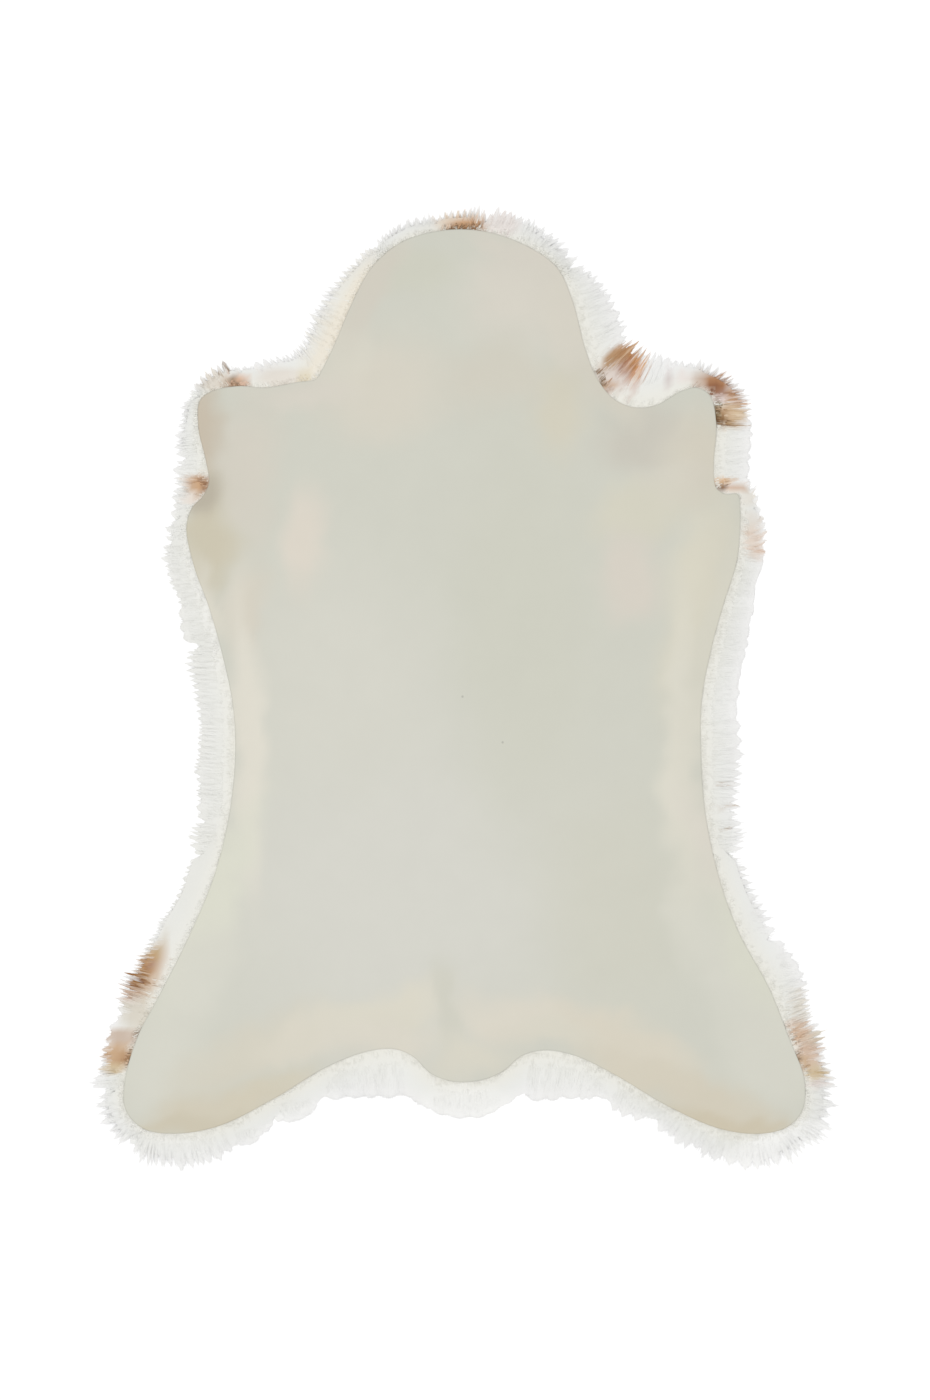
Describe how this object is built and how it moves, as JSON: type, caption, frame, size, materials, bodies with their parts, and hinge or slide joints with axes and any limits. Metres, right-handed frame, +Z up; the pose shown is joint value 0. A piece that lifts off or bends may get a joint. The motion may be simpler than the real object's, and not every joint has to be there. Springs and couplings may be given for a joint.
{
  "type": "reindeer hide",
  "caption": "Tanned reindeer hide laid out hair side down: a pale flesh-side skin over its dense white winter coat, which stands out as a rim of pointed locks.",
  "frame": {"origin": "on the floor, under the middle of the hide's length and width", "axes": "+Y along the spine towards the head end, +X to the right as seen from above with the head end up, +Z up out of the flesh side"},
  "size_m": [0.9264, 1.208, 0.0298],
  "materials": {
    "skin": "matt suede flesh side, bone white with warmer clouds",
    "hair": "dense white winter hair with a few rust-brown and tan patches at the rim"
  },
  "bodies": {
    "root": {"skin": "skin", "fur_pile": "hair"}
  },
  "joints": []
}
